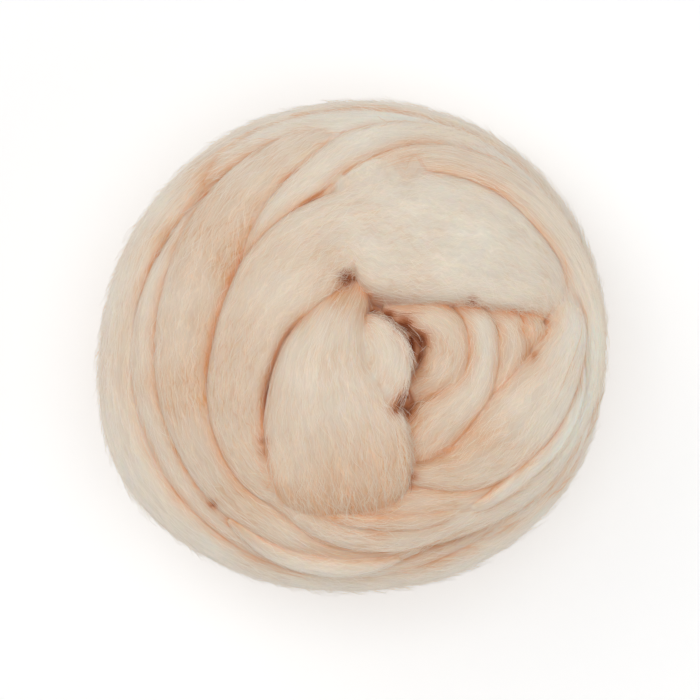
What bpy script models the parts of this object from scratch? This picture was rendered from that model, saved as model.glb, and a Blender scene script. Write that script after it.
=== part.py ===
"""A ball of combed wool roving: one long soft strand wound round and round into a flattened ball,
with its last turn laid over the top as a nest and its free end folded over the middle.

The ball is one solid. A plain core carries a ridge for each turn of the strand that shows, and a Boolean
joins them. A turn is a swept length with a domed crown and straight flanks that sink into the core, so that
neighbouring turns meet in a crease. Every turn follows the same flattened ball, standing a little proud of
it or sunk below it. Sizes in the tables are millimetres and degrees, and x and y are measured from the
ball's axis; azimuth runs counter-clockwise from +X, seen from above.
"""

import math
from collections import namedtuple

import bmesh
import bpy
from mathutils import Matrix, Vector

MM = 0.001

# The flattened ball that the turns follow, standing on a flat spot.
LONG_HALF = 69.5
SHORT_HALF = 64.5
LONG_AZIMUTH = 30.0
HALF_HEIGHT = 43.0
CENTRE_HEIGHT = 39.0

# The core lies this far inside the ball, and is the floor of the gaps between turns.
CORE_DEPTH = 13.0
CORE_SEGMENTS = 40
CORE_RINGS = 20

# A turn's section: a domed crown on straight flanks that sink into the core.
CROWN_POINTS = 8
CROWN_FULLNESS = 2.3
CROWN_SHARE = 0.32
MOST_CROWN = 8.0
FLANK_DEPTH = 18.0

# The spacing of sections along a turn, which is wider for those round the side and underneath.
TOP_STEP = 6.5
SIDE_STEP = 9.5
FEWEST_STEPS = 5

# An open turn's ends are drawn in to this share of their width.
END_SHARE = 0.35

CUTTER_SIZE = 300.0

# Edges of the joined ball that are sharper than this angle are creases.
CREASE_ANGLE = 50.0

WOOL_COLOUR = (0.80, 0.66, 0.52, 1.0)
WOOL_ROUGHNESS = 0.9

# A turn right round the side: the height of its middle, how far it rises and falls about that, the azimuth
# where it is highest, and at even stations round it how proud its crown stands of the ball and its width.
Girth = namedtuple("Girth", "name height rise high proud width")
GIRTHS = (
    Girth("foot_turn", 10, 2, 320, (-1, -1, -1, 0), (25, 24, 26, 24)),
    Girth("low_turn", 25, 3, 300, (-1, 0, -1, 0), (21, 20, 21, 20)),
    Girth("waist_turn", 39, 3, 120, (-1, -1, 0, -1), (22, 21, 22, 21)),
    Girth("left_sling", 40, 10, 195, (2, 2, 3, 2), (19, 19, 21, 19)),
    Girth("right_sling", 39, 14, 65, (1, 1, 1, 1), (18, 20, 19, 18)),
)

# A broad turn that crosses under the ball: the way it heads, how far to the left of the axis it passes,
# half its length, and at even stations along it the same two measures.
Strap = namedtuple("Strap", "name heading offset reach proud width")
STRAPS = (
    Strap("first_strap", 25, 3, 50, (-3, 0, 1, 0, -3), (28, 38, 42, 38, 28)),
    Strap("second_strap", 100, -4, 48, (-3, 1, 2, 1, -3), (28, 36, 40, 36, 28)),
)

# A turn laid round the top or the underside: the azimuths of its ends, and at even stations the radius of its
# middle in plan and the same two measures.
Turn = namedtuple("Turn", "name azimuths radius proud width")
TURNS = (
    Turn("rim_turn", (118, 352), (61, 59.3, 57.5, 58.5, 59.5, 61.2, 63, 63.2, 63.5, 63.5, 64, 64.5, 65.5, 67),
         (-6, -2, 0, 0, 0, 0, 0, 0, 0, 0, 0, 0, 0, -3), (5, 5, 7, 10, 12, 14, 14, 13, 11, 10, 10, 10, 9, 8)),
    Turn("left_turn", (84, 300), (66.5, 59.5, 54.5, 50.3, 47.5, 47, 48.3, 50, 52.7, 54.5, 58.5, 59.5, 58),
         (-2, 1, 2, 2, 2, 2, 2, 2, 1, 1, 0, -1, -4), (10, 15, 17, 20, 21, 20, 18, 15, 14, 13, 11, 9, 6)),
    Turn("upper_turn", (150, 40), (39, 40, 43.5, 48, 55.5, 62, 66, 67.5),
         (-5, -1, 1, 2, 2, 1, 0, -4), (4, 5, 8, 11, 15, 15, 12, 8)),
    Turn("ring_turn", (86, -154), (51.5, 57.3, 61.5, 65, 66.5, 66, 63, 57, 53, 49, 42.5, 41.3, 36),
         (-3, 1, 2, 2, 2, 2, 2, 2, 2, 2, 2, 2, -4), (4, 9, 12, 13, 13, 14, 15, 16, 18, 20, 17, 12, 15)),
)

UNDER_TURNS = (
    Turn("under_turn", (20, 410), (46, 43, 40, 38, 39, 41, 40, 36, 28),
         (-4, 0, 1, 1, 1, 1, 1, 0, -5), (12, 20, 23, 24, 24, 24, 23, 20, 10)),
)

# A length in the nest or over it, by even stations in plan along its middle.
Lock = namedtuple("Lock", "name x y proud width")
LOCKS = (
    Lock("broad_turn", (-17.3, -25.3, -31.3, -32.4, -30.5, -26.7, -20, -11.5, -2.5, 7.5, 19.8, 33, 44.5, 54, 60),
         (-38.8, -33, -23, -12.5, -2, 9, 18.5, 27, 32, 32.3, 32, 30, 25, 18.5, 10.5),
         (-5, 1, 2, 3, 3, 3, 3, 3, 3, 3, 3, 3, 2, 1, -3), (12, 12, 14, 17, 19, 21, 25, 25, 25, 35, 38, 35, 29, 20, 10)),
    Lock("fold", (61, 60.6, 57.2, 51, 43, 33, 22), (17.5, 7.6, -3.8, -15.8, -27, -35, -37.5),
         (-3, 2, 4, 4, 3, 1, -5), (5, 9, 14, 20, 21, 15, 8)),
    Lock("curl_4", (49.5, 52, 51.5), (11.7, 5.5, -2.2), (-8, -3, -6), (5, 7, 5)),
    Lock("curl_3", (41, 45.8, 46.4, 42, 35), (12.4, 4.8, -3.9, -13.4, -21.2), (-9, -4, -4, -5, -9),
         (6, 9, 9, 9, 7)),
    Lock("curl_2", (30.2, 36.2, 37.8, 35.3, 28.8, 22.3, 18.3), (13.1, 6.2, -2.5, -11.8, -19.5, -26.8, -34.8),
         (-9, -4, -4, -4, -4, -6, -9), (6, 8, 9, 10, 13, 13, 9)),
    Lock("curl_1", (9, 18.5, 26, 28, 24.8, 17.5), (12, 10.3, 5.5, -2.4, -10.2, -15),
         (-10, -6, -4, -4, -5, -9), (5, 7, 10, 12, 11, 9)),
    Lock("end_side", (1.5, 8, 10.3, 9.3, 6.5), (11.5, 6.2, -2.5, -11, -19), (-5, 1, 3, 1, -5), (6, 10, 11, 11, 9)),
    Lock("free_end", (-0.8, -5.6, -7.8, -7.2, -5, -2.8, -0.3), (13.2, 6.5, -3.4, -15, -26.5, -38, -49),
         (-7, 1, 4, 5, 4, 2, -4), (6, 16, 26, 35, 41, 41, 26)),
)


def smooth(values, share, closed=False):
    """The value at a share of the way along even stations, on a Catmull-Rom curve through them."""
    count = len(values)
    place = share * (count if closed else count - 1)
    i = math.floor(place) if closed else min(max(math.floor(place), 0), count - 2)
    t = place - i
    if closed:
        before, start, end, after = (values[(i + k) % count] for k in (-1, 0, 1, 2))
    else:
        start, end = values[i], values[i + 1]
        before = values[i - 1] if i else 2 * start - end
        after = values[i + 2] if i + 2 < count else 2 * end - start
    lean_in, lean_out = (end - before) / 2, (after - start) / 2
    rise = end - start
    return start + t * (lean_in + t * (3 * rise - 2 * lean_in - lean_out + t * (lean_in + lean_out - 2 * rise)))


def plan_share(x, y):
    """How far out a point in plan lies, as a share of the ball's outline on its side."""
    turned = Vector((x, y, 0)) @ Matrix.Rotation(math.radians(LONG_AZIMUTH), 3, "Z")
    return math.hypot(turned.x / LONG_HALF, turned.y / SHORT_HALF)


def on_ball(x, y, side=1):
    """The ball's point over a point in plan, or under it with side -1."""
    share = min(plan_share(x, y), 0.999)
    return Vector((x, y, CENTRE_HEIGHT + side * HALF_HEIGHT * math.sqrt(1 - share * share)))


def at_azimuth(azimuth, radius):
    return math.cos(math.radians(azimuth)) * radius, math.sin(math.radians(azimuth)) * radius


def girth_point(row, share):
    azimuth = row.high + 360 * share
    level = (row.height + row.rise * math.cos(2 * math.pi * share) - CENTRE_HEIGHT) / HALF_HEIGHT
    radius = math.sqrt(1 - level * level) / plan_share(*at_azimuth(azimuth, 1))
    return Vector((*at_azimuth(azimuth, radius), CENTRE_HEIGHT + level * HALF_HEIGHT))


def strap_point(row, share):
    along = row.reach * (2 * share - 1)
    ahead, aside = at_azimuth(row.heading, along), at_azimuth(row.heading + 90, row.offset)
    return on_ball(ahead[0] + aside[0], ahead[1] + aside[1], -1)


def turn_point(row, share):
    azimuth = row.azimuths[0] + (row.azimuths[1] - row.azimuths[0]) * share
    return on_ball(*at_azimuth(azimuth, smooth(row.radius, share)))


def under_turn_point(row, share):
    place = turn_point(row, share)
    return on_ball(place.x, place.y, -1)


def lock_point(row, share):
    return on_ball(smooth(row.x, share), smooth(row.y, share))


WINDING = (
    (GIRTHS, girth_point),
    (STRAPS, strap_point),
    (UNDER_TURNS, under_turn_point),
    (TURNS, turn_point),
    (LOCKS, lock_point),
)


def outward(point):
    """The ball's outward normal at a point on it."""
    turn = Matrix.Rotation(math.radians(LONG_AZIMUTH), 3, "Z")
    own = point @ turn
    slope = Vector((own.x / LONG_HALF**2, own.y / SHORT_HALF**2, (own.z - CENTRE_HEIGHT) / HALF_HEIGHT**2))
    return (turn @ slope).normalized()


def section(width):
    """A turn's section as (across, up) pairs with the crown's top at up 0: the crown, then the flanks' feet."""
    crown = min(CROWN_SHARE * width, MOST_CROWN)
    points = []
    for i in range(CROWN_POINTS):
        angle = math.pi * i / (CROWN_POINTS - 1)
        across, up = math.cos(angle), math.sin(angle)
        across = math.copysign(abs(across) ** (2 / CROWN_FULLNESS), across)
        points.append((across * width / 2, (up ** (2 / CROWN_FULLNESS) - 1) * crown))
    return points + [(side * width / 2, -crown - FLANK_DEPTH) for side in (-1, 1)]


def sections_along(row, point_at, closed):
    """The turn's sections in place, each a list of points."""
    rough = [point_at(row, i / 60) for i in range(61)]
    length = sum((b - a).length for a, b in zip(rough, rough[1:]))
    step = TOP_STEP if row in TURNS + LOCKS else SIDE_STEP
    steps = max(FEWEST_STEPS, round(length / step))
    rings = []
    for i in range(steps if closed else steps + 1):
        share = i / steps
        place = point_at(row, share)
        ahead = point_at(row, share + 1e-3) - point_at(row, share - 1e-3)
        across = ahead.cross(outward(place)).normalized()
        up = across.cross(ahead).normalized()
        top = place + up * smooth(row.proud, share, closed)
        drawn = END_SHARE if not closed and i in (0, steps) else 1.0
        width = smooth(row.width, share, closed) * drawn
        rings.append([top + across * a + up * b for a, b in section(width)])
    return rings


def ridge(row, point_at):
    """The closed mesh of one turn, as an object that only the Boolean uses."""
    closed = isinstance(row, Girth)
    mesh = bmesh.new()
    loops = [[mesh.verts.new(point * MM) for point in ring] for ring in sections_along(row, point_at, closed)]
    pairs = list(zip(loops, loops[1:]))
    if closed:
        pairs.append((loops[-1], loops[0]))
    else:
        mesh.faces.new(loops[0])
        mesh.faces.new(reversed(loops[-1]))
    for first, second in pairs:
        for i in range(len(first)):
            j = (i + 1) % len(first)
            mesh.faces.new((first[j], first[i], second[i], second[j]))
    bmesh.ops.triangulate(mesh, faces=mesh.faces)
    bmesh.ops.recalc_face_normals(mesh, faces=mesh.faces)
    return as_object(mesh, row.name)


def core():
    """The inside of the ball, which the turns are wound on."""
    mesh = bmesh.new()
    bmesh.ops.create_uvsphere(mesh, u_segments=CORE_SEGMENTS, v_segments=CORE_RINGS, radius=1.0)
    halves = [(half - CORE_DEPTH) * MM for half in (LONG_HALF, SHORT_HALF, HALF_HEIGHT)]
    bmesh.ops.scale(mesh, vec=halves, verts=mesh.verts)
    place = Matrix.Translation((0, 0, CENTRE_HEIGHT * MM)) @ Matrix.Rotation(math.radians(LONG_AZIMUTH), 4, "Z")
    bmesh.ops.transform(mesh, matrix=place, verts=mesh.verts)
    return as_object(mesh, "roving_ball")


def floor_cutter():
    """A block whose top is the plane that the ball rests on."""
    mesh = bmesh.new()
    bmesh.ops.create_cube(mesh, size=CUTTER_SIZE * MM)
    bmesh.ops.translate(mesh, vec=(0, 0, -CUTTER_SIZE * MM / 2), verts=mesh.verts)
    return as_object(mesh, "floor_cutter")


def as_object(mesh, name):
    data = bpy.data.meshes.new(name)
    mesh.to_mesh(data)
    mesh.free()
    return bpy.data.objects.new(name, data)


def as_helper(thing, collection):
    thing.hide_render = True
    thing.display_type = "WIRE"
    collection.objects.link(thing)


def wool():
    material = bpy.data.materials.new("wool")
    material.use_nodes = True
    finish = material.node_tree.nodes["Principled BSDF"]
    finish.inputs["Base Color"].default_value = WOOL_COLOUR
    finish.inputs["Roughness"].default_value = WOOL_ROUGHNESS
    finish.inputs["Metallic"].default_value = 0.0
    return material


def finish(ball):
    """Applies the joins, and centres the ball over the origin with its flat spot at the floor."""
    bpy.context.view_layer.update()
    joined = bpy.data.meshes.new_from_object(ball.evaluated_get(bpy.context.evaluated_depsgraph_get()))
    mesh = bmesh.new()
    mesh.from_mesh(joined)
    lows = [min(vert.co[axis] for vert in mesh.verts) for axis in range(3)]
    highs = [max(vert.co[axis] for vert in mesh.verts) for axis in range(3)]
    middle = [(low + high) / 2 for low, high in zip(lows, highs)]
    bmesh.ops.translate(mesh, vec=(-middle[0], -middle[1], -lows[2]), verts=mesh.verts)
    mesh.to_mesh(joined)
    mesh.free()
    joined.materials.append(wool())
    joined.shade_smooth()
    joined.set_sharp_from_angle(angle=math.radians(CREASE_ANGLE))
    ball.modifiers.clear()
    ball.data = joined


def main():
    for thing in list(bpy.data.objects):
        bpy.data.objects.remove(thing)
    scene = bpy.context.scene.collection
    turns = bpy.data.collections.new("turns")
    scene.children.link(turns)
    turns.hide_render = True
    for rows, point_at in WINDING:
        for row in rows:
            as_helper(ridge(row, point_at), turns)
    cutter = floor_cutter()
    as_helper(cutter, scene)

    ball = core()
    scene.objects.link(ball)
    join = ball.modifiers.new("turns", "BOOLEAN")
    join.operation = "UNION"
    join.operand_type = "COLLECTION"
    join.collection = turns
    join.solver = "EXACT"
    join.use_self = True
    flat = ball.modifiers.new("flat_spot", "BOOLEAN")
    flat.operation = "DIFFERENCE"
    flat.object = cutter
    flat.solver = "EXACT"
    finish(ball)
    for helper in (*turns.objects, cutter):
        bpy.data.objects.remove(helper)


main()
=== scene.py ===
"""The looks of a ball of combed wool roving: the strand's turns with their soft grooves, the fibres that lie
along them, and the hairs, strays and fuzz that stand off them.

Sizes are millimetres and degrees, with x and y measured from the ball's axis, until a mesh is made.
"""

import math
from collections import namedtuple
from functools import partial

import bmesh
import bpy
import numpy as np
from mathutils import Matrix, Vector, noise
from mathutils.bvhtree import BVHTree
from mathutils.kdtree import KDTree


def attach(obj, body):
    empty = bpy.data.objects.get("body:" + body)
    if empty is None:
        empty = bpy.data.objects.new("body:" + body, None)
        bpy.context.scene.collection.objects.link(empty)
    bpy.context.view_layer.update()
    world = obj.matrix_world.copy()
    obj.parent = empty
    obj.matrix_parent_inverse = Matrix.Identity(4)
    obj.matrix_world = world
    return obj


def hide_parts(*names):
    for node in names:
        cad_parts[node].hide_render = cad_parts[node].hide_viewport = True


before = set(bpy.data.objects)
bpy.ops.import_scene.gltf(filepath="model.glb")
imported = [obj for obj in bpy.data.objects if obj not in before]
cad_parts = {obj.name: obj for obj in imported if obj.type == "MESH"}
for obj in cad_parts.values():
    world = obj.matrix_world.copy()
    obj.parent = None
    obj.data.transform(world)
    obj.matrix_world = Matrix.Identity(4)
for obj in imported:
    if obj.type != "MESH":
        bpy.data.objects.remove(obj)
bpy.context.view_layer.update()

MM = 0.001
NODE = "roving_ball"

# The ball's axis in the frame, the flattened ball that the turns follow, how near its outline they may come, and
# the ball inside it that closes the gaps.
AXIS = (-0.69, -0.12)
LONG_HALF = 69.5
SHORT_HALF = 64.5
LONG_AZIMUTH = 30.0
HALF_HEIGHT = 43.0
CENTRE_HEIGHT = 39.0
OUTLINE_SHARE = 0.999
CORE_DEPTH = 13.0
CORE_SEGMENTS = 64
CORE_RINGS = 32

# A turn's section: a domed crown on straight flanks that sink into the ball.
CROWN_FULLNESS = 2.3
CROWN_SHARE = 0.32
MOST_CROWN = 6.8
CURLS = ("curl_1", "curl_2", "curl_3", "curl_4")
LOW_CROWNS = dict.fromkeys(CURLS, 0.27)
FLANK_STOPS = (1.0, 2.2, 4.0, 6.5, 10.0, 18.0)
END_SHARE = 0.35
END_LENGTH = 6.5

# The spacing of a turn's points, along it and across it, and how much longer a crown is than its width.
TOP_STEPS = (1.0, 0.9)
SIDE_STEPS = (1.7, 1.3)
CROWN_LENGTH = 1.3
FEWEST_POINTS = 12

# How finely a path's length and a crown's arc are measured, and the share of a path that gives its direction.
PATH_SAMPLES = 120
ARC_SAMPLES = 400
NUDGE = 0.001

# The map that lays fibres on turns has a row for each turn, this long, and a spot that is on no turn.
LAY_LENGTH = 0.999
OFF_THE_LAY = (-9.0, -9.0)

# The grooves between the bundles of fibres in a turn: depth, spacing across and length along.
Groove = namedtuple("Groove", "depth apart long")
GROOVES = (
    Groove(0.16, 7.0, 80.0),
    Groove(0.04, 3.0, 40.0),
)
GROOVE_FADE = 4.0
FULL_GROOVE_WIDTH = 14.0

# How a turn swells and thins along its length.
SWELL = 0.05
SWELL_LENGTH = 28.0
SWELL_APART = 3.7

# How closed in a spot is: rays sent out from it, and how far they look.
OUTLOOK_RAYS = 9
OUTLOOK_SPREAD = 0.9
OUTLOOK_REACH = 9.0
OUTLOOK_START = 0.3
STOPPED_RAY = 0.6
NOOK_REACH = 3.0
OPEN_ROUNDS = 3
NOOK_ROUNDS = 1

# Creases between turns: how finely they are followed, and the bend in degrees that counts as a full crease.
CREASE_STEP = 0.4
CREASE_NEIGHBOURS = 12
SHARP_BEND = 50.0

# Where turns melt together: the rounds of smoothing, the least share that counts and the edges closed up first.
MELT_ROUNDS = 40
MELT_SHARE = 0.05
SLIVER = 0.25

Girth = namedtuple("Girth", "name height rise high proud width")
GIRTHS = (
    Girth("foot_turn", 10, 2, 320, (-1, -1, -1, 0), (25, 24, 26, 24)),
    Girth("low_turn", 25, 3, 300, (-1, 0, -1, 0), (21, 20, 21, 20)),
    Girth("waist_turn", 39, 3, 120, (-1, -1, 0, -1), (22, 21, 22, 21)),
    Girth("left_sling", 40, 10, 195, (2, 2, 3, 2), (19, 19, 21, 19)),
    Girth("right_sling", 39, 14, 65, (1, 1, 1, 1), (18, 20, 19, 18)),
)

Strap = namedtuple("Strap", "name heading offset reach proud width")
STRAPS = (
    Strap("first_strap", 25, 3, 50, (-3, 0, 1, 0, -3), (28, 38, 42, 38, 28)),
    Strap("second_strap", 100, -4, 48, (-3, 1, 2, 1, -3), (28, 36, 40, 36, 28)),
)

Turn = namedtuple("Turn", "name azimuths radius proud width")
TURNS = (
    Turn("rim_turn", (118, 352), (61, 59.3, 57.5, 58.5, 59.5, 61.2, 63, 63.2, 63.5, 63.5, 64, 64.5, 65.5, 67),
         (-6, -2, 0, 0, 0, 0, 0, 0, 0, 0, 0, 0, 0, -3), (5, 5, 7, 10, 12, 14, 14, 13, 11, 10, 10, 10, 9, 8)),
    Turn("left_turn", (84, 300), (66.5, 59.5, 54.5, 50.3, 47.5, 47, 48.3, 50, 52.7, 54.5, 58.5, 59.5, 58),
         (-2, 1, 2, 2, 2, 2, 2, 2, 1, 1, 0, -1, -4), (10, 15, 17, 20, 21, 20, 18, 15, 14, 13, 11, 9, 6)),
    Turn("upper_turn", (150, 40), (39, 40, 43.5, 48, 55.5, 62, 66, 67.5),
         (-5, -1, 1, 2, 2, 1, 0, -4), (4, 5, 8, 11, 15, 15, 12, 8)),
)

UNDER_TURNS = (
    Turn("under_turn", (20, 410), (46, 43, 40, 38, 39, 41, 40, 36, 28),
         (-4, 0, 1, 1, 1, 1, 1, 0, -5), (12, 20, 23, 24, 24, 24, 23, 20, 10)),
)

Lock = namedtuple("Lock", "name x y proud width")


def at_azimuth(azimuth, radius):
    return math.cos(math.radians(azimuth)) * radius, math.sin(math.radians(azimuth)) * radius


# The last turn is one length: a ring round the top by azimuth and radius, and then over the top in plan.
RING_AZIMUTHS = range(106, -115, -20)
RING_RADII = (41, 47.7, 56, 61.5, 65, 66.5, 66, 63, 56, 51, 48, 42.5)
OVER_X = (-25.3, -31.3, -32.4, -30.5, -26.7, -20, -11.5, -2.5, 7.5, 19.8, 33, 44.5, 54, 60)
OVER_Y = (-33, -23, -12.5, -2, 9, 18.5, 27, 32, 32.3, 32, 30, 25, 18.5, 10.5)
RING_PLAN = [at_azimuth(azimuth, radius) for azimuth, radius in zip(RING_AZIMUTHS, RING_RADII)]
LAST_TURN = Lock("last_turn", tuple(x for x, _ in RING_PLAN) + OVER_X, tuple(y for _, y in RING_PLAN) + OVER_Y,
                 (-2, 1.8, 2.6, 2.5, 2, 2, 2, 2, 1.6, 1.1, 1.1, 1.5, 2, 2, 3, 3, 3, 3, 3, 3, 3, 3, 3, 2, 1, -3),
                 (4, 7, 11, 12, 13, 13, 14, 15, 19, 22, 22, 18, 16, 16, 17, 19, 21, 25, 25, 25, 35, 38, 35, 29, 20,
                  10))
LOCKS = (
    LAST_TURN,
    Lock("fold", (61, 60.6, 57.2, 51, 43, 32.5, 22, 12), (17.5, 7.6, -3.8, -15.8, -27, -34.5, -36.5, -35.5),
         (-3, 2, 4, 4, 2.5, 1, -1, -3), (5, 9, 14, 20, 21, 15, 8, 4)),
    Lock("fold_edge", (60.5, 61.5, 59.5, 54.5, 47.5, 40.5, 34, 27), (5, -6, -15.8, -24.9, -32.2, -38.4, -42.6, -45.6),
         (-1, 1.8, 2.8, 3.2, 3.1, 2.8, 2.2, -1), (3, 4, 5, 6, 6, 5, 4, 3)),
    Lock("low_lock", (49.7, 44.8, 37.8, 32.4, 21.8, 11.6, -3.2, -13.1, -20.2),
         (-27.2, -35, -41.8, -45.2, -49.4, -51.8, -49.8, -45, -41.3), (-2, 0, 1.2, 1.7, 1.9, 1.9, 1.8, 1.2, -0.8),
         (4, 6, 8, 9, 11, 12, 12, 11, 8)),
    Lock("low_wisp", (-12, -2, 12.9, 24, 33), (-44, -46.5, -47.4, -45.8, -42.5),
         (0.5, 2, 2.2, 2, 0), (3, 4, 5, 4, 3)),
    Lock("foot_wisp", (-34, -24, -12, 1, 13), (-47, -54, -58.3, -59.6, -58.5),
         (0.5, 2.4, 3, 2.6, 0), (3, 5, 6, 5, 3)),
    Lock("curl_4", (49.5, 52, 51.5), (11.7, 5.5, -2.2), (-8, -3, -6), (6, 9, 7)),
    Lock("curl_3", (41, 45.8, 46.4, 42, 35), (12.4, 4.8, -3.9, -13.4, -21.2), (-9, -4, -4, -5, -9),
         (7, 11, 12, 12, 9)),
    Lock("curl_2", (30.2, 36.2, 37.8, 35.3, 28.8, 22.3, 18.3), (13.1, 6.2, -2.5, -11.8, -19.5, -26.8, -34.8),
         (-9, -4, -4, -4, -4, -5, -6), (7, 9, 11, 13, 16, 17, 13)),
    Lock("curl_1", (9, 18.5, 26, 28, 24.8, 17.5), (12, 10.3, 5.5, -2.4, -10.2, -15),
         (-10, -6, -4, -4, -5, -9), (7, 9, 12, 14, 13, 10)),
    Lock("end_side", (1.5, 6, 9.3, 8.6, 5, 0), (8.5, 5, -1.5, -8.5, -15, -22), (-5, 0, 2.2, 2.5, 1.5, -1),
         (4, 8.5, 12, 14, 14, 10)),
    Lock("free_end", (1, -4.5, -7.8, -7.2, -5, -2.8, -0.3), (19, 8, -3.4, -15, -26.5, -38.5, -51),
         (-5, 1, 4, 5, 4.5, 3.6, -1.5), (10, 17, 26, 35, 41, 39, 25)),
)

# A length that crosses itself is two closed ones, end to end, parted at this share of it.
PARTED = {"last_turn": 0.46}

# How peach rather than cream a length is, at even stations along it: partly the wool's own tone and partly
# painted warm light bounced between the turns, most where a length lies deep in the nest.
WARMTH = {
    "last_turn": (0.3, 0.35, 0.35, 0.4, 0.35, 0.1, 0.0, 0.15, 0.5, 0.65, 0.65, 0.55, 0.45, 0.4, 0.35, 0.35, 0.3, 0.25,
                  0.25, 0.2, 0.15, 0.15, 0.15, 0.15, 0.3, 0.4),
    "fold": (0.4, 0.3, 0.25, 0.35, 0.35, 0.45, 0.6, 0.7),
    "fold_edge": (0, -0.1, -0.1, -0.1, -0.1, 0, 0.2, 0.3),
    "low_lock": (0.2, 0.2, 0.2, 0.25, 0.25, 0.3, 0.35, 0.35, 0.3),
    "low_wisp": (0.7, 0.7, 0.6, 0.5, 0.4),
    "foot_wisp": (0.2, 0.1, 0.0, 0.0, 0.1),
    "free_end": (0.6, 0.3, 0.2, 0.2, 0.5, 1.0, 1.2),
    "end_side": (0.4, 0.2, 0.2, 0.3, 0.4, 0.6),
    "curl_1": (0.6, 0.65, 0.75, 0.75, 0.8, 0.8),
    "curl_2": (0.45, 0.45, 0.5, 0.55, 0.6, 0.7, 0.7),
    "curl_3": (0.7, 0.8, 0.8, 0.8, 0.8),
    "curl_4": (0.8, 0.8, 0.8),
    "left_turn": (0.25, 0.3, 0.45, 0.55, 0.55, 0.55, 0.55, 0.45, 0.4, 0.45, 0.45, 0.45, 0.45),
    "rim_turn": (0.15, 0.2, 0.25, 0.25, 0.25, 0.25, 0.25, 0.15, 0.1, 0.1, 0.1, 0.1),
    "upper_turn": (0.4, 0.3, 0.2, 0.2, 0.2, 0.1),
}
USUAL_WARMTH = (-0.1, 0.05, 0.0)

# How much warmer a turn's edges are than its crown: painted warm light bounced into the creases at its edges.
EDGE_WARMTH = dict.fromkeys(CURLS, 0.8)
USUAL_EDGE_WARMTH = 0.3
MEAN_EDGE = 0.4

# How far the side swells out, at even azimuths round the ball.
BULGES = (-1.1, -1.3, -0.7, 0.0, 1.4, 1.0, 0.4, 2.6, 0.0, -0.6, 2.2, 2.5)

# Spots of the top, in plan, each with a radius and an amount.
Spot = namedtuple("Spot", "x y radius amount")


def spots_of(*rows):
    return [Spot(*row) for row in rows]


# Small hollows pressed in, by their depth.
HOLLOWS = spots_of((-1.9, 18.8, 2.2, 4.0))

# Where two turns run into each other without a crease.
MELTS = spots_of(
    (57.6, 12.5, 5.5, 1.0), (4.5, -7.5, 3.5, 1.0), (8.0, -12.5, 4.0, 1.0), (4, -18, 4, 1.0), (-27.5, 38, 3.5, 0.4),
    (-23, 44.5, 4.5, 0.4), (-15, 51.5, 5, 0.35), (-5, 58, 4, 0.25), (-2.5, 43.8, 2, 0.7), (1.7, 45.2, 2.5, 0.9),
    (6, 46.6, 3, 0.9), (10.5, 48, 3, 0.6), (15, 49.2, 3.5, 0.35), (3, 2.5, 3, 0.9), (3.7, -1.5, 3, 1.0),
)

# Where a crease is faint, by how much of it is lost, or strong, with an amount below 0.
CREASE_CHANGES = spots_of(
    (-3.3, 48.2, 3, -0.5), (2.5, 50.8, 3, -0.5), (8.5, 53, 3.5, -0.5), (14.5, 55, 3.5, -0.5), (20, 56, 3, -0.5),
    (3.5, -0.5, 4, 0.8), (31, 46, 8, 0.3), (45, 35, 8, 0.35), (54, 21, 8, 0.3), (-18, 50, 9, 0.7),
    (-28, 39, 4, 0.6), (-4, 61, 8, 0.6), (-61.5, 5, 9, 0.6), (-2.2, 44.2, 2.5, 0.9), (4.7, 46.6, 3, 0.9),
    (11, 48.2, 4, 0.8), (18, 49, 4, 0.5), (3, 2, 5, 0.7), (-4, -63, 9, 0.6), (13, -62, 9, 0.6), (33, -56, 9, 0.6),
    (48, -44, 8, 0.6), (0, -47, 6, 0.5), (14, -48, 7, 0.5), (28, -45, 6, 0.5), (-61, -6, 10, 0.7),
    (-59, -20, 10, 0.6), (-20, -47.5, 11, 0.6), (10, 12.5, 8, 0.4), (30, 12.5, 8, 0.4),
)

# Where the wool is in deep shade.
DARK_SPOTS = spots_of(
    (-1.8, 18.9, 1.7, 0.8), (-38.3, -42.9, 1.3, 0.7), (-24.4, -25.5, 1.5, 0.5), (-24.2, -28.5, 1.4, 0.4),
    (12.1, -15.8, 2.4, 0.9), (15.2, -17.8, 1.6, 0.8), (32.5, 12.6, 1.6, 0.5), (5.5, 10.0, 1.5, 0.6),
    (9.6, 8.6, 1.8, 0.9), (14.2, 5.6, 2.8, 1.0), (17.4, 1.8, 3.3, 1.0), (17.1, -2.3, 2.0, 0.9),
    (49.3, -2.1, 1.2, 0.5), (16.3, -35.1, 1.5, 0.5),
)

# Where the wool is warmer, or paler with an amount below 0.
WARM_SPOTS = spots_of(
    (-40.8, 46.2, 5, 0.6), (-53, 29.6, 4, 0.5), (-2, 13, 5, 0.5), (-56, -9, 5, 0.3), (36.4, -24, 6, 0.5),
    (30, -30, 5, 0.4), (-14, 8, 5, 0.25), (49, -3, 4, 0.4), (-6, -40, 9, 0.15), (-28, 14, 12, 0.15),
    (64, 2, 10, -0.5), (61, -20, 9, -0.4),
)

# Where short curly hairs stand thick.
FUZZY_SPOTS = spots_of(
    (-20, -33, 5, 1.0), (-12, -40, 5, 1.0), (-3, -44.5, 5, 1.0), (6, -42, 5, 1.0), (12, -36, 5, 1.0),
    (15, -28, 4, 1.0), (14, -20, 4, 1.0), (11, -15, 3, 1.0), (-2, 19, 3.5, 1.0), (8, 7, 3.5, 1.0),
    (16, 1, 3.5, 1.0), (36, 13, 4, 1.0), (46, 11, 5, 1.0), (53, 13, 4, 1.0),
)

# The ball is paler towards this azimuth and warmer on the other side.
PALE_AZIMUTH = 25.0
PALE_CHANGE = 0.24


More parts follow.
